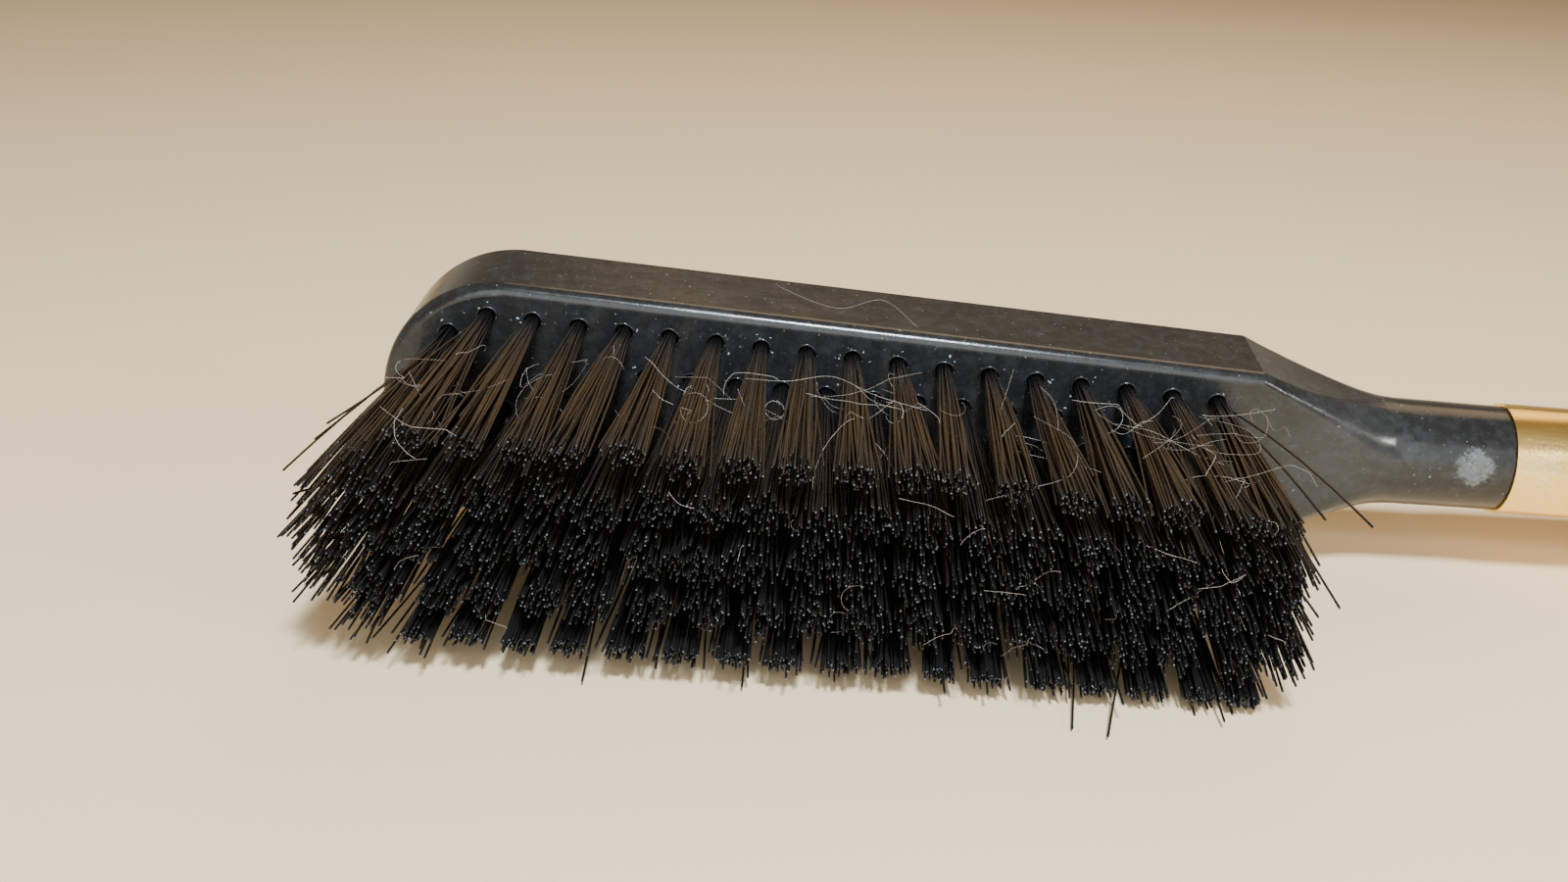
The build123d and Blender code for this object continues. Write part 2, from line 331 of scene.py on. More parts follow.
# How uneven their lengths are, in millimetres: all of them, some odd ones, and a few long ones.
UNEVEN = 0.35
ODD_SHARE, ODD_CHANGES = 0.12, (-1.6, 1.5)
LONG_SHARE, LONG_CHANGES = 0.012, (1.5, 4.0)
# Tufts lean and bristles scatter less across the block than along it.
LEAN_SHARES, SCATTER_SHARES = [1, 0.7, 0], [1, 0.8, 0]
# How much of the painted lit brown single bristles get, and how pale the painted glints on
# their cut ends are; and over which shares of its run a bristle's brown comes up from its least
# near the root, and goes again before the tip.
BROWN_SHADES = (0.25, 1.0)
GLINT_STRENGTHS = (0.15, 1.0)
BROWN_START, BROWN_RISE, BROWN_LEAST = 0.08, 0.4, 0.08
BROWN_END, BROWN_FALL = 1.01, 0.16

# For each row of tufts: how far its tips spread along and across the block, as shares of the
# CAD tuft's tip, how much a tuft leans about its place in millimetres, how much painted lit brown
# its bristles get (painted light: most on the upper rows that face the light, least on the lower
# rows in their shade), and its share of the lift.
ROW_LOOKS = {
    "toe_tufts": (1.6, 1.45, 1.3, 0.8, 0.6),
    "tuft_row_1": (1.16, 0.86, 0.55, 1.0, 1.0),
    "tuft_row_2": (1.38, 1.42, 0.7, 0.3, 0.8),
    "tuft_row_3": (1.42, 1.5, 0.7, 0.22, 0.6),
    "tuft_row_4": (1.32, 1.4, 0.6, 0.14, 0.4),
    "tuft_row_5": (1.10, 0.50, 0.35, 0.10, 0.15),
}
# The brush rests on its lowest tufts, which lifts the tips of those above, from the toe to about
# two thirds of the way, and less and less from there, until they hang lower at the heel.
LIFT_STATIONS = np.array([100.0, 148.0]) * MM
LIFTS = np.array([2.2, -2.2]) * MM

# The last tufts before the shoulders are pressed back a little, and those at the toe are worn
# loose, the more so the nearer they stand to it.
HEEL_START = 146 * MM
HEEL_PULL = 2.0 * MM
LOOSE_END = 24 * MM


def solids_in(name):
    """The separate solids of a CAD node, each as its points."""
    mesh = frame["nodes"][name].data
    points = vertices_of(mesh)
    _, same = np.unique(np.round(points / SAME_POINT), axis=0, return_inverse=True)
    same = same.ravel()
    edges = np.empty(len(mesh.edges) * 2, int)
    mesh.edges.foreach_get("vertices", edges)
    edges = same[edges.reshape(-1, 2)]
    group = np.arange(same.max() + 1)
    while True:
        lowest = np.minimum(group[edges[:, 0]], group[edges[:, 1]])
        before = group.copy()
        np.minimum.at(group, edges[:, 0], lowest)
        np.minimum.at(group, edges[:, 1], lowest)
        if (group == before).all():
            break
    label = group[same]
    points = np.round(points, KEPT_DECIMALS)
    return [np.unique(points[label == which], axis=0) for which in np.unique(label)]


def tufts_in(name):
    """Each tuft's root centre on the face, its tip centre, and its root and tip radii."""
    found = []
    for points in solids_in(name):
        spots = local(points)
        low, high = spots[:, 2].min(), spots[:, 2].max()
        bottom = spots[spots[:, 2] < low + ROOT_SLICE]
        top = spots[spots[:, 2] > high - TIP_SLICE]
        axis = top.mean(0) - bottom.mean(0)
        root = bottom.mean(0) - axis * bottom.mean(0)[2] / axis[2]
        root_radius = np.linalg.norm(bottom - bottom.mean(0), axis=1).max()
        tip_radius = np.linalg.norm(top - top.mean(0), axis=1).max()
        found.append((root, top.mean(0), root_radius, tip_radius))
    return sorted(found, key=lambda tuft: tuft[0][0])


def bristle_ends(tuft, looks, pull, looseness):
    """Where the bristles of one tuft start and end."""
    root, tip, root_radius, tip_radius = tuft
    along_spread, across_spread, wander, _, lift_share = looks
    tip = tip + [-pull, lift_share * np.interp(root[0], LIFT_STATIONS, LIFTS), 0]
    count = int(
        (BRISTLES_PER_TUFT + rng.integers(*COUNT_CHANGES)) * (1 - LOOSE_THINNING * looseness)
    )
    place = np.arange(count)
    reach = np.sqrt((place + 0.5) / count)
    turn = place * GOLDEN_ANGLE + rng.uniform(0, 2 * math.pi)
    spoke = np.stack([np.cos(turn), np.sin(turn), np.zeros(count)], axis=1) * reach[:, None]
    starts = root + spoke * (root_radius - BRISTLE_RADIUS) * ROOT_FILL - [0, 0, ROOT_SINK]
    lean = rng.normal(0, wander * MM, 3) * LEAN_SHARES
    spread = tip_radius * rng.uniform(*END_SIZES) * np.array([along_spread, across_spread, 0])
    scatter_size = (SCATTER + LOOSE_SCATTER * looseness) * MM
    scatter = rng.normal(0, scatter_size, (count, 3)) * SCATTER_SHARES
    wild = rng.random(count)
    for share, times in WILD_ONES:
        scatter[wild < share] *= times
    ends = tip + lean + spoke * spread + scatter
    ends[:, 2] = tip[2] + rng.normal(0, UNEVEN * MM, count)
    for share, changes in ((ODD_SHARE, ODD_CHANGES), (LONG_SHARE, LONG_CHANGES)):
        some = rng.random(count) < share
        ends[some, 2] += rng.uniform(*changes, some.sum()) * MM
    return starts, ends


def brown_along(run):
    """How much painted lit brown a bristle gets along its run: least at its root and at its tip.
    """
    rise = np.clip((run - BROWN_START) / BROWN_RISE, BROWN_LEAST, 1)
    return rise * np.clip((BROWN_END - run) / BROWN_FALL, 0.0, 1)


def bristle_mesh(name, starts, ends, bend, painted_lit_brown, glint_share):
    """Bristles between their starts and ends, given in the brush's axes, as one piece."""
    count = len(starts)
    share = BRISTLE_RUN[None, :, None]
    bow = rng.normal(0, 1, (count, 1, 3)) * [1, 1, 0] * bend
    body = starts[:, None] * (1 - share) + ends[:, None] * share + bow * np.sin(np.pi * share)
    heading = ends - body[:, -1]
    heading /= np.linalg.norm(heading, axis=1, keepdims=True)
    cap = ends[:, None] - heading[:, None] * CAP_HEIGHTS[None, :, None]
    paths = world(np.concatenate([body, cap], axis=1))
    # a bristle that would reach through the floor bends along it instead
    paths[:, :, 2] = np.maximum(paths[:, :, 2], BRISTLE_RADIUS + FLOOR_GAP)
    radii = BRISTLE_RADIUS * np.concatenate([np.ones(len(BRISTLE_RUN)), CAP_RADII])
    points, faces = tubes(paths, radii, BRISTLE_SIDES)
    piece = new_mesh(name, points, faces)
    run = np.concatenate([BRISTLE_RUN, np.ones(len(CAP_RADII))])
    # painted lit brown: the row's share, a random shade for each bristle, spread along its run
    painted_lit_tint = (painted_lit_brown * rng.uniform(*BROWN_SHADES, count))[:, None] * brown_along(run)[None, :]
    give_values(piece, "painted_lit_brown", np.repeat(painted_lit_tint[:, :, None], BRISTLE_SIDES, axis=2))
    # some bristles get pale cut ends: painted glints
    has_glint = rng.random(count) < glint_share
    wear_and_glint = np.zeros((count, len(run)))
    wear_and_glint[:, -CUT_RINGS:] = np.where(has_glint, rng.uniform(*GLINT_STRENGTHS, count), 0.0)[:, None]
    give_values(piece, "wear_and_glint", np.repeat(wear_and_glint[:, :, None], BRISTLE_SIDES, axis=2))
    finish_piece(piece, bristle_material)
    return piece


bristle_material = make_bristle_material()
tufts = {}
for row_name in sorted(ROW_LOOKS):
    tufts[row_name] = tufts_in(row_name)
    row_looks = ROW_LOOKS[row_name]
    *_, row_painted_lit_brown, _ = row_looks
    row_ends = []
    for tuft in tufts[row_name]:
        from_toe = tuft[0][0]
        pull = HEEL_PULL * (from_toe > HEEL_START)
        looseness = float(np.clip((LOOSE_END - from_toe) / LOOSE_END, 0, 1))
        row_ends.append(bristle_ends(tuft, row_looks, pull, looseness))
    row_starts = np.concatenate([starts for starts, _ in row_ends])
    row_tips = np.concatenate([ends for _, ends in row_ends])
    # each row's bristles carry its painted lit brown, and painted glints on some cut ends
    bristles = bristle_mesh(
        row_name + "_bristles", row_starts, row_tips,
        bend=0.35 * MM, painted_lit_brown=row_painted_lit_brown, glint_share=0.3,
    )
    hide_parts(row_name)

# Long bristles that stand out of their tufts: the row they grow from, the place of their tuft
# in it counted from the toe, and where they end, in millimetres along, across and out.
STRAYS = (
    ("tuft_row_1", 16, 160.0, 15.0, 48.0), ("tuft_row_1", 16, 152.0, 17.0, 50.5),
    ("tuft_row_2", 17, 156.5, 3.5, 52.5), ("tuft_row_2", 17, 153.0, 9.0, 50.0),
    ("tuft_row_3", 17, 154.5, 0.5, 50.5), ("tuft_row_3", 17, 154.0, -2.0, 51.5),
    ("tuft_row_5", 13, 119.7, -18.3, 57.2), ("tuft_row_5", 15, 124.8, -17.9, 59.0),
    ("tuft_row_5", 3, 44.5, -20.8, 51.2), ("tuft_row_5", 6, 69.4, -20.1, 50.6),
    ("toe_tufts", 0, -1.0, 1.0, 50.5), ("toe_tufts", 0, 0.6, -2.6, 51.0),
    ("toe_tufts", 1, 2.0, -6.5, 50.0), ("toe_tufts", 2, 1.2, 8.2, 50.0),
    ("toe_tufts", 3, 6.0, -15.0, 50.8), ("toe_tufts", 3, 8.0, -17.2, 50.0),
    ("toe_tufts", 4, 5.2, 17.6, 50.0), ("toe_tufts", 4, 6.8, 19.8, 49.0),
    ("tuft_row_1", 0, 11.0, 20.4, 50.0), ("tuft_row_5", 0, 14.0, -18.6, 50.8),
    ("tuft_row_1", 1, 21.0, 18.6, 51.0), ("tuft_row_4", 17, 152.6, -9.4, 51.0),
)
stray_roots = np.array([tufts[row][place][0] for row, place, *_ in STRAYS])
stray_tips = np.array([tip for _, _, *tip in STRAYS]) * MM
# the strays get half the painted lit brown, and painted glints on some of their cut ends
bristle_mesh(
    "stray_bristles", stray_roots - [0, 0, ROOT_SINK], stray_tips,
    bend=0.9 * MM, painted_lit_brown=0.5, glint_share=0.2,
)


# ---------------------------------------------------------------- plastic and metal
PLASTIC_BLACK, DUST_GREY = (0.0115, 0.0118, 0.0122, 1), (0.050, 0.056, 0.062, 1)
SPECK_PALE, SCUFF_PALE = (0.32, 0.31, 0.29, 1), (0.26, 0.28, 0.29, 1)
# SHEEN_GREY is a painted sheen: the grey reflection on the shoulder's face
SHEEN_GREY = (0.040, 0.042, 0.044, 1)
SCUFF_PLACE = (NECK_END - 7 * MM, 2.1 * MM, -0.6 * MM)
SCUFF_RADIUS, SCUFF_EDGE = 3.6 * MM, 1.1 * MM
RAGGED_EDGE = 2.4 * MM
SHEEN_PLACE = (NECK_END - 32 * MM, 4 * MM, -0.5 * MM)
SHEEN_REACH, SHEEN_CORE = 16 * MM, 2 * MM
TUBE_SCUFF_PLACE = (NECK_END + 5 * MM, 0.5 * MM, 0)
TUBE_SCUFF_REACH, TUBE_SCUFF_CORE = 9 * MM, 1 * MM
RUBBED_METAL = (0.86, 0.84, 0.80, 1)
PLASTIC_BUMP, METAL_BUMP = 0.2 * MM, 0.05 * MM


def make_black_plastic(name, with_scuffs):
    """Moulded black plastic with fine scratches, dust and, on the head, a pale rubbed patch and a
    painted grey sheen.
    """
    made, tree, shader = material(name, Specular_IOR_Level=0.45)
    blotch = noise(tree, scale=90, detail=6, rough=0.62)
    smear = noise(tree, scale=260, detail=5, rough=0.7, stretch=(0.35, 1, 1))
    specks = ramp(tree, noise(tree, scale=1500, detail=2, rough=0.5), 0.70, 0.76)
    dust = ramp(tree, noise(tree, scale=420, detail=8, rough=0.8), 0.46, 0.78, 0.0, 0.5)
    colour = mix(tree, dust, PLASTIC_BLACK, DUST_GREY)
    colour = mix(tree, product(tree, specks, 0.5), colour, SPECK_PALE)
    rough = total(
        tree, ramp(tree, blotch, 0.3, 0.7, 0.15, 0.22), ramp(tree, smear, 0.45, 0.8, 0.0, 0.08),
    )
    if with_scuffs:
        tatters = noise(tree, scale=620, detail=9, rough=0.8)
        ragged = ramp(tree, tatters, 0.25, 0.75, -RAGGED_EDGE, RAGGED_EDGE)
        from_scuff = total(tree, distance_from(tree, SCUFF_PLACE), ragged)
        scuff = ramp(tree, from_scuff, SCUFF_RADIUS, SCUFF_RADIUS - SCUFF_EDGE)
        patches = noise(tree, scale=2200, detail=5, rough=0.8)
        scuff = product(tree, scuff, ramp(tree, patches, 0.36, 0.64, 0.10, 0.50))
        colour = mix(tree, scuff, colour, SCUFF_PALE)
        # a painted sheen: grey reflection painted on the shoulder's face, with a little more
        # roughness there
        from_sheen = total(
            tree, distance_from(tree, SHEEN_PLACE), product(tree, ragged, 4.0),
        )
        sheen = ramp(tree, from_sheen, SHEEN_REACH, SHEEN_CORE, 0.0, 0.7)
        sheen = product(tree, sheen, ramp(tree, smear, 0.35, 0.65, 0.35, 1.0))
        colour = mix(tree, sheen, colour, SHEEN_GREY)
        rough = total(tree, rough, product(tree, scuff, 0.35), product(tree, sheen, 0.16))
    tree.links.new(colour, shader.inputs["Base Color"])
    tree.links.new(rough, shader.inputs["Roughness"])
    scratches = noise(tree, scale=2600, detail=3, rough=0.6, stretch=(0.06, 1, 1))
    grain = noise(tree, scale=700, detail=4, rough=0.6)
    height = total(tree, product(tree, scratches, 0.5), grain)
    bump(tree, shader, height, strength=0.10, distance=PLASTIC_BUMP)
    return made


def make_metal(name, dark, light, rough_low, rough_high, with_scuffs=False):
    """Drawn metal with a haze of handling, and fine lines along it."""
    made, tree, shader = material(name, Metallic=1.0)
    haze = noise(tree, scale=28, detail=2, rough=0.5)
    lines = noise(tree, scale=3200, detail=3, rough=0.7, stretch=(0.012, 1, 1))
    spots = ramp(tree, noise(tree, scale=500, detail=5, rough=0.7), 0.60, 0.78)
    colour = mix(tree, haze, dark, light)
    rough = total(
        tree, ramp(tree, haze, 0.3, 0.7, rough_low, rough_high),
        ramp(tree, lines, 0.5, 0.8, 0.0, 0.06), product(tree, spots, 0.08),
    )
    if with_scuffs:
        from_scuff = distance_from(tree, TUBE_SCUFF_PLACE)
        near = ramp(tree, from_scuff, TUBE_SCUFF_REACH, TUBE_SCUFF_CORE, 0.0, 0.8)
        flecks = ramp(tree, noise(tree, scale=1900, detail=7, rough=0.85), 0.5, 0.58)
        wear_and_glint = product(tree, near, flecks)
        colour = mix(tree, wear_and_glint, colour, RUBBED_METAL)
        rough = total(tree, rough, product(tree, wear_and_glint, 0.22))
    tree.links.new(colour, shader.inputs["Base Color"])
    tree.links.new(rough, shader.inputs["Roughness"])
    bump(tree, shader, lines, strength=0.02, distance=METAL_BUMP)
    return made


GOLD_DARK, GOLD_LIGHT = (1.0, 0.66, 0.19, 1), (1.0, 0.75, 0.29, 1)
BRASS_DARK, BRASS_LIGHT = (0.60, 0.42, 0.16, 1), (0.74, 0.55, 0.26, 1)
STEEL_DARK, STEEL_LIGHT = (0.42, 0.43, 0.45, 1), (0.62, 0.62, 0.64, 1)
head_plastic = make_black_plastic("head_plastic", with_scuffs=True)
cap_plastic = make_black_plastic("cap_plastic", with_scuffs=False)
tube_gold = make_metal("tube_gold", GOLD_DARK, GOLD_LIGHT, 0.20, 0.32, with_scuffs=True)
fitting_brass = make_metal("fitting_brass", GOLD_DARK, GOLD_LIGHT, 0.24, 0.40)
ring_brass = make_metal("ring_brass", GOLD_DARK, GOLD_LIGHT, 0.16, 0.30)
insert_brass = make_metal("insert_brass", BRASS_DARK, BRASS_LIGHT, 0.3, 0.45)
rod_steel = make_metal("rod_steel", STEEL_DARK, STEEL_LIGHT, 0.3, 0.45)
anchor_wire = make_metal("anchor_wire", STEEL_DARK, STEEL_LIGHT, 0.35, 0.5)

NODE_FINISHES = {
    "brush_head": head_plastic, "end_cap": cap_plastic, "handle_tube": tube_gold,
    "hanging_eye": fitting_brass, "cap_washer": fitting_brass, "hanging_ring": ring_brass,
    "threaded_insert": insert_brass, "tie_rod": rod_steel,
}
for node_name, cad_node in frame["nodes"].items():
    if node_name in ROW_LOOKS:
        finish = bristle_material
    else:
        finish = NODE_FINISHES.get(node_name, anchor_wire)
    for slot in cad_node.material_slots:
        slot.link = "OBJECT"
        slot.material = finish


# ---------------------------------------------------------------- details of the moulding
HOLE_RIM_SEGMENTS = 22
HOLE_RIM_RADIUS = 0.2 * MM
HOLE_RIM_GAP = 0.22 * MM
HOLE_RIM_LEVEL, HOLE_RIM_TILT = 0.02 * MM, 0.05 * MM
HOLE_RIM_OVAL, HOLE_RIM_LOBES = 0.05, 0.03
ANY_PHASE = (0, 6)
DETAIL_SIDES = 6
PARTING_LEVEL = 2.15 * MM
PARTING_RADIUS = 0.07 * MM
PARTING_STEP = 0.3 * MM
PAST_LAST_TUFT = 6 * MM
TOE_MIDDLE = 24 * MM
TOE_TIP = 4 * MM
INSIDE_SHARE = 0.9


def add_hole_rims():
    """The low raised rim that the tufting leaves round each hole in the block's face."""
    turn = 2 * np.pi * np.arange(HOLE_RIM_SEGMENTS + 1) / HOLE_RIM_SEGMENTS
    circle = np.stack([np.cos(turn), np.sin(turn), np.zeros(len(turn))], axis=1)
    paths = []
    for row in sorted(tufts):
        for root, _, root_radius, _ in tufts[row]:
            oval = HOLE_RIM_OVAL * np.sin(turn * 2 + rng.uniform(*ANY_PHASE))
            lobes = HOLE_RIM_LOBES * np.sin(turn * 3 + rng.uniform(*ANY_PHASE))
            rim = root + circle * (root_radius + HOLE_RIM_GAP) * (1 + oval + lobes)[:, None]
            tilt = HOLE_RIM_TILT * np.sin(turn + rng.uniform(*ANY_PHASE))
            rim[:, 2] = HOLE_RIM_LEVEL + tilt
            paths.append(rim)
    points, faces = tubes(world(np.array(paths)), HOLE_RIM_RADIUS, DETAIL_SIDES)
    finish_piece(new_mesh("hole_rims", points, faces), head_plastic)


def add_parting_line():
    """The fine ridge that the mould left round the block's side, just behind its face."""
    mesh = frame["nodes"]["brush_head"].data
    spots = local(vertices_of(mesh))
    edges = np.empty(len(mesh.edges) * 2, int)
    mesh.edges.foreach_get("vertices", edges)
    first, second = spots[edges.reshape(-1, 2)].transpose(1, 0, 2)
    cut = (first[:, 2] + PARTING_LEVEL) * (second[:, 2] + PARTING_LEVEL) < 0
    first, second = first[cut], second[cut]
    share = ((-PARTING_LEVEL - first[:, 2]) / (second[:, 2] - first[:, 2]))[:, None]
    found = first + (second - first) * share
    # the ridge ends before the shoulders, and only the block's outside has it, not the tuft holes
    heel = tufts["tuft_row_1"][-1][0][0] + PAST_LAST_TUFT
    found = found[found[:, 0] < heel]
    from_middle = (found - [heel / 2, 0, 0]) / [heel / 2, 1, 1]
    found = found[np.linalg.norm(from_middle, axis=1) > INSIDE_SHARE]
    outside = np.abs(found[:, 1]) > TUBE_RADIUS
    found = found[outside | (found[:, 0] < TOE_TIP)]
    # its points in order: from the heel along one side, round the toe and back along the other
    behind_toe = found[:, 0] - TOE_MIDDLE
    turn = np.arctan2(found[:, 1], np.minimum(behind_toe, 0))
    side = np.sign(found[:, 1]) * (math.pi / 2 - behind_toe)
    order = np.where(behind_toe > 0, side, turn)
    found = found[np.argsort(np.where(order < 0, order + 2 * math.pi, order))]
    steps = np.linalg.norm(np.diff(found, axis=0), axis=1)
    keep = np.concatenate([[True], steps > PARTING_STEP])
    points, faces = tubes(world(found[keep])[None], PARTING_RADIUS, DETAIL_SIDES)
    finish_piece(new_mesh("parting_line", points, faces), head_plastic)


# ---------------------------------------------------------------- lint caught in the bristles
LINT_BROWN, LINT_PALE = (0.12, 0.065, 0.03, 1), (0.50, 0.46, 0.40, 1)
LINT_RADIUS = 0.024 * MM
LINT_SIDES = 4
LINT_STEPS = 26
KNOT_CURLS = (0.06, 0.12, 0.18)
LOOSE_CURLS = (0.03, 0.07, 0.12)
# A fibre's turning changes by up to so many times its curl, a step at a time, and it drifts.
CURL_START, CURL_STEP, CURL_MOST = (0.5, 1.4), 0.25, 1.8
DRIFT = 0.05

# Knots of lint: where they sit in millimetres along, across and out, how far they spread, how
# many fibres each has, and how long those are.
LINT_KNOTS = (
    (139.0, 15.5, 26.0, 4.0, 11, 16.0),
    (145.0, 15.0, 36.0, 4.0, 8, 17.0),
    (131.0, 17.0, 22.0, 4.0, 5, 12.0),
    (15.0, 21.0, 38.0, 4.0, 9, 13.0),
    (24.0, 19.0, 30.0, 4.0, 6, 11.0),
    (37.0, 19.0, 27.0, 5.0, 6, 11.0),
    (58.0, 18.0, 30.0, 5.0, 8, 12.0),
    (73.0, 18.0, 22.0, 5.0, 8, 15.0),
    (84.0, 18.0, 26.0, 5.0, 7, 15.0),
    (96.0, 17.0, 28.0, 5.0, 7, 16.0),
    (109.0, 16.0, 30.0, 6.0, 6, 13.0),
)

# Loose fibres on the bristles' tips: how many, and between which places and lengths, in
# millimetres.
LOOSE_FIBRES = 28
LOOSE_PLACES = ((8, 148), (-12, 15), (49, 51))
LOOSE_LENGTHS = (3, 11)

# The lint stays among the bristles: the least and most along, across and out, in millimetres.
LINT_LOW = (3.0, -18.0, -15.0)
LINT_HIGH = (150.0, 21.8, 52.0)

# Single long hairs, by their corners: on the block's side, then three across the front row.
LONG_HAIRS = (
    ((69.2, 21.6, -14.4), (76.0, 21.5, -8.2), (81.4, 21.2, -6.9), (88.4, 20.9, -12.9),
     (94.3, 20.4, -2.8)),
    ((66.0, 19.5, 22.0), (73.0, 21.0, 25.0), (80.0, 20.5, 21.0), (87.0, 20.5, 27.0),
     (95.0, 19.5, 29.0)),
    ((112.0, 18.5, 26.0), (117.0, 19.5, 36.0), (116.0, 18.0, 44.0), (109.0, 17.0, 48.0),
     (103.0, 16.0, 50.5)),
    ((141.0, 15.0, 14.0), (147.5, 16.0, 20.0), (147.0, 17.0, 30.0), (140.0, 17.0, 31.0),
     (138.0, 16.0, 24.0)),
)


def make_lint_material():
    made, tree, shader = material("lint", Roughness=0.7, Sheen_Weight=0.4)
    colour = mix(tree, attribute(tree, "tone"), LINT_BROWN, LINT_PALE)
    tree.links.new(colour, shader.inputs["Base Color"])
    return made


def fibre(place, length, curl):
    """A thin fibre that wanders from a place, as LINT_STEPS points in the brush's axes."""
    heading = rng.normal(0, 1, 3) * [1, 0.35, 0.6]
    heading /= np.linalg.norm(heading)
    axis = rng.normal(0, 1, 3) * [0.5, 0.5, 1]
    axis /= np.linalg.norm(axis)
    points = [np.asarray(place, float)]
    turning = curl * rng.uniform(*CURL_START)
    for _ in range(LINT_STEPS - 1):
        turning += rng.normal(0, curl * CURL_STEP)
        turning = float(np.clip(turning, -CURL_MOST * curl, CURL_MOST * curl))
        heading = heading + np.cross(axis, heading) * turning + rng.normal(0, DRIFT, 3)
        heading /= np.linalg.norm(heading)
        points.append(points[-1] + heading * length / LINT_STEPS)
    return np.array(points)


def smooth_path(corners, steps):
    """A smooth line through corners that are given in millimetres in the brush's axes."""
    corners = np.array(corners) * MM
    knots = np.arange(len(corners))
    places = np.linspace(0, len(corners) - 1, steps)
    before = np.clip(places.astype(int), 0, len(corners) - 2)
    share = (places - before)[:, None]
    slopes = np.gradient(corners, knots, axis=0)
    start, end = corners[before], corners[before + 1]
    return (
        start * (1 - 3 * share**2 + 2 * share**3) + end * (3 * share**2 - 2 * share**3)
        + slopes[before] * (share - 2 * share**2 + share**3)
        + slopes[before + 1] * (share**3 - share**2)
    )


def add_lint():
    paths = [smooth_path(line, LINT_STEPS) for line in LONG_HAIRS]
    for *place, spread, count, length in LINT_KNOTS:
        for _ in range(count):
            start = np.array(place) * MM + rng.normal(0, spread * MM, 3) * [1, 0.4, 0.8]
            fibre_length = length * MM * rng.uniform(0.5, 1.5)
            paths.append(fibre(start, fibre_length, rng.choice(KNOT_CURLS)))
    for _ in range(LOOSE_FIBRES):
        start = np.array([rng.uniform(*between) for between in LOOSE_PLACES]) * MM
        fibre_length = rng.uniform(*LOOSE_LENGTHS) * MM
        paths.append(fibre(start, fibre_length, rng.choice(LOOSE_CURLS)))
    paths = world(np.clip(np.array(paths), np.array(LINT_LOW) * MM, np.array(LINT_HIGH) * MM))
    paths[:, :, 2] = np.maximum(paths[:, :, 2], LINT_RADIUS + FLOOR_GAP)
    points, faces = tubes(paths, LINT_RADIUS, LINT_SIDES)
    lint = new_mesh("lint", points, faces)
    tones = rng.uniform(0, 1, len(paths)) ** 0.7
    give_values(lint, "tone", np.repeat(tones, LINT_STEPS * LINT_SIDES))
    finish_piece(lint, make_lint_material())


# ---------------------------------------------------------------- flakes on the block, some pale as painted glints
# How many crumbs; how long they are in millimetres, and how wide and high next to that; and how
# far they lie from the middle of a tuft's root, in millimetres.
CRUMBS = 230
CRUMB_SIZES, CRUMB_WIDTHS, CRUMB_HEIGHT = (0.08, 0.34), (0.3, 0.9), 0.4
CRUMB_DISTANCES = (1.9, 3.0)
CRUMB_UNEVEN = 0.1
CRUMB_LEVEL = 0.12 * MM
# CRUMB_GLINT_PALE is a painted glint: the pale flakes stand in for the glints round the tuft
# roots
CRUMB_DARK, CRUMB_GLINT_PALE = (0.10, 0.12, 0.14, 1), (0.62, 0.68, 0.74, 1)
# A flake: six corners round its rim, then its top and its bottom.
CRUMB_CORNERS = np.array([
    (1, 0, 0), (0.45, 0.85, 0.1), (-0.5, 0.8, 0), (-1, 0.1, 0.1), (-0.4, -0.9, 0),
    (0.6, -0.75, 0.1), (0.1, 0.1, 0.8), (0, -0.1, -0.5),
])
RIM_CORNERS, CRUMB_TOP, CRUMB_BOTTOM = 6, 6, 7
CRUMB_FACES = [
    *((place, (place + 1) % RIM_CORNERS, CRUMB_TOP) for place in range(RIM_CORNERS)),
    *(((place + 1) % RIM_CORNERS, place, CRUMB_BOTTOM) for place in range(RIM_CORNERS)),
]


def add_crumbs():
    """Small flakes on the face round the roots of the bristles, some pale: the pale ones are
    painted glints at the roots.
    """
    places = [tuft[0] for row in sorted(tufts) for tuft in tufts[row]]
    points, faces = [], []
    for crumb in range(CRUMBS):
        size = rng.uniform(*CRUMB_SIZES) * MM
        size = size * np.array([1, rng.uniform(*CRUMB_WIDTHS), CRUMB_HEIGHT])
        turn = rng.uniform(0, 2 * math.pi)
        cosine, sine = math.cos(turn), math.sin(turn)
        spin = np.array([[cosine, sine, 0], [-sine, cosine, 0], [0, 0, 1]])
        uneven = rng.normal(0, CRUMB_UNEVEN, CRUMB_CORNERS.shape)
        flake = (CRUMB_CORNERS + uneven) * size @ spin
        away = rng.uniform(0, 2 * math.pi)
        direction = np.array([math.cos(away), math.sin(away), 0])
        root = places[rng.integers(len(places))]
        centre = root + direction * rng.uniform(*CRUMB_DISTANCES) * MM
        points.append(world(flake + centre + [0, 0, CRUMB_LEVEL]))
        before = crumb * len(CRUMB_CORNERS)
        faces += [tuple(corner + before for corner in face) for face in CRUMB_FACES]
    made, tree, shader = material("glint_crumbs", Roughness=0.35)
    pale = mix(tree, noise(tree, scale=900, detail=2, rough=0.5), CRUMB_DARK, CRUMB_GLINT_PALE)
    tree.links.new(pale, shader.inputs["Base Color"])
    glint_crumbs = new_mesh("glint_crumbs", np.concatenate(points), faces, smooth=False)
    finish_piece(glint_crumbs, made)


add_hole_rims()
add_parting_line()
add_lint()
add_crumbs()


# ---------------------------------------------------------------- floor and light
FLOOR_COLOUR = (0.88, 0.68, 0.42, 1)
FLOOR_REACH = 6.0
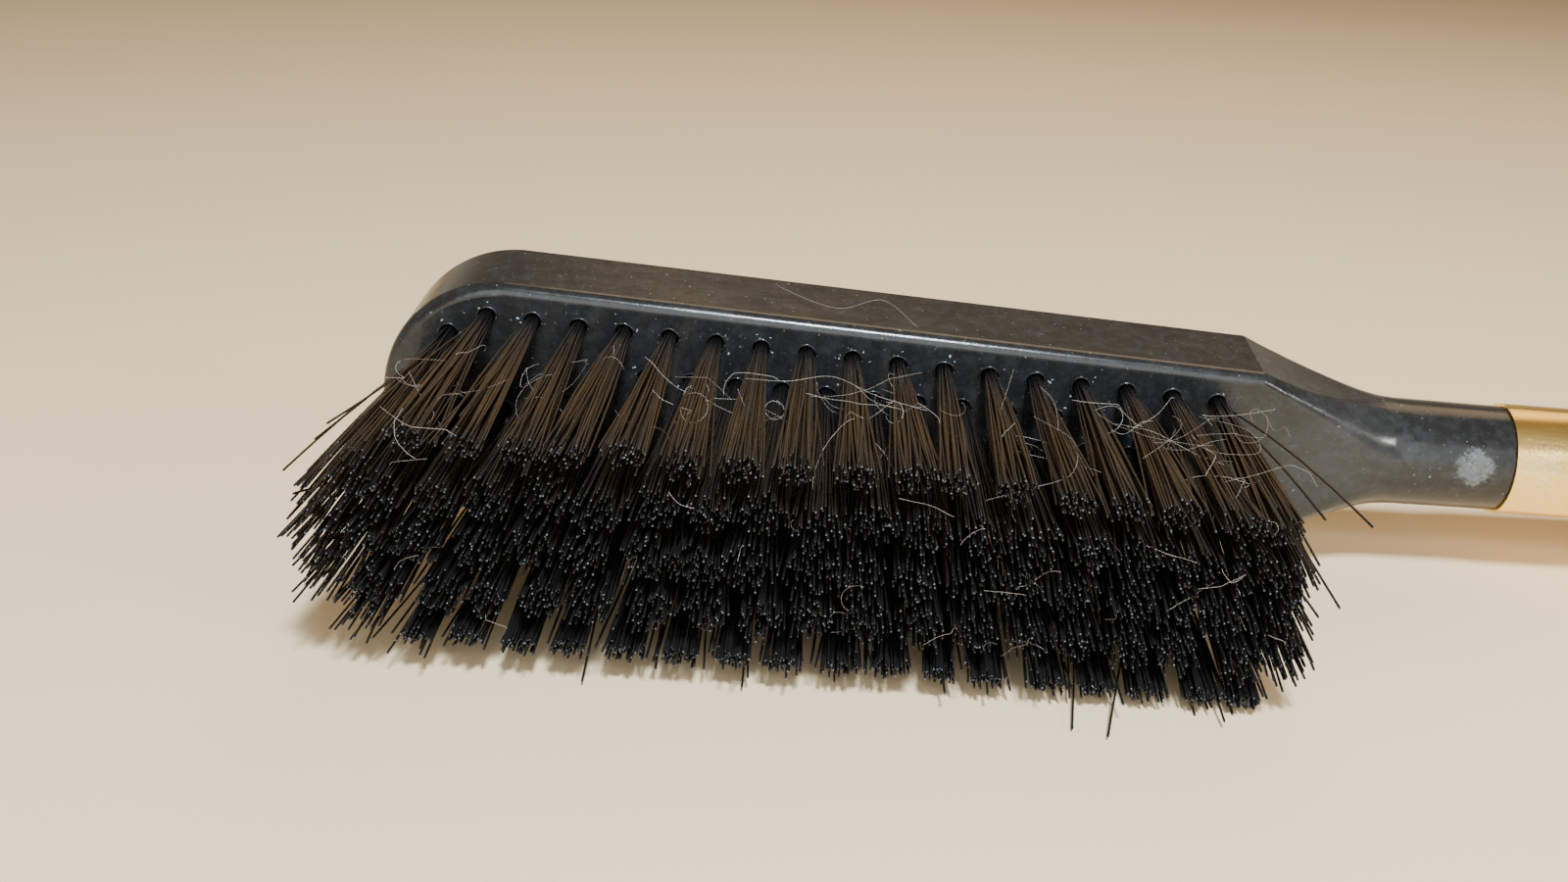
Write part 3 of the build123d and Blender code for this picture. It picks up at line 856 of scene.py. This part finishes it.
# The room is pale where a direction rises by less than WALL_LOW of its length, and as dark as
# the ceiling where it rises by more than WALL_HIGH.
WALL_LOW, WALL_HIGH = 0.03, 0.30
WALL_PALE, CEILING_DARK = (0.62, 0.52, 0.38, 1), (0.24, 0.17, 0.09, 1)
LAMP_TARGET = (0.10, 0, 0)
# Each lamp: its place in the brush's axes, its two sides, its power in watts and its colour.
LAMPS = {
    "window": ((0.150, 0.80, 0.42), (0.12, 0.12), 18.0, (0.80, 0.91, 1.0)),
    "front": ((0.06, 0.55, 1.25), (1.5, 1.1), 17.0, (0.92, 0.97, 1.0)),
    "behind": ((0.30, 0.75, -0.80), (0.9, 0.5), 3.5, (1.0, 0.70, 0.38)),
    "glint": ((0.70, 0.43, 0.48), (0.10, 0.10), 2.0, (1.0, 0.97, 0.92)),
}


def add_floor():
    reach = FLOOR_REACH
    corners = [(-reach, -reach, 0), (reach, -reach, 0), (reach, reach, 0), (-reach, reach, 0)]
    floor = new_mesh("floor", corners, [(0, 1, 2, 3)], smooth=False)
    made, _, _ = material("floor_pale", Base_Color=FLOOR_COLOUR, Roughness=0.55)
    floor.data.materials.append(made)


def add_lamp(name, place, size, power, colour):
    """A soft lamp that shines at the block, and that no view shows."""
    light = bpy.data.lights.new(name, "AREA")
    light.shape = "RECTANGLE"
    light.size, light.size_y = size
    light.energy = power
    light.color = colour
    lamp = bpy.data.objects.new(name, light)
    place, target = Vector(world(place)), Vector(world(LAMP_TARGET))
    lamp.location = place
    lamp.visible_camera = False
    lamp.rotation_euler = (target - place).to_track_quat("-Z", "Y").to_euler()
    bpy.context.scene.collection.objects.link(lamp)


def add_world():
    room = bpy.data.worlds.new("room")
    room.use_nodes = True
    tree = room.node_tree
    direction = node(tree, "ShaderNodeTexCoord").outputs["Generated"]
    height = node(tree, "ShaderNodeSeparateXYZ", [(0, direction)]).outputs["Z"]
    walls = mix(tree, ramp(tree, height, WALL_LOW, WALL_HIGH), WALL_PALE, CEILING_DARK)
    tree.links.new(walls, tree.nodes["Background"].inputs[0])
    bpy.context.scene.world = room


add_floor()
add_world()
for lamp_name, lamp_looks in LAMPS.items():
    add_lamp(lamp_name, *lamp_looks)
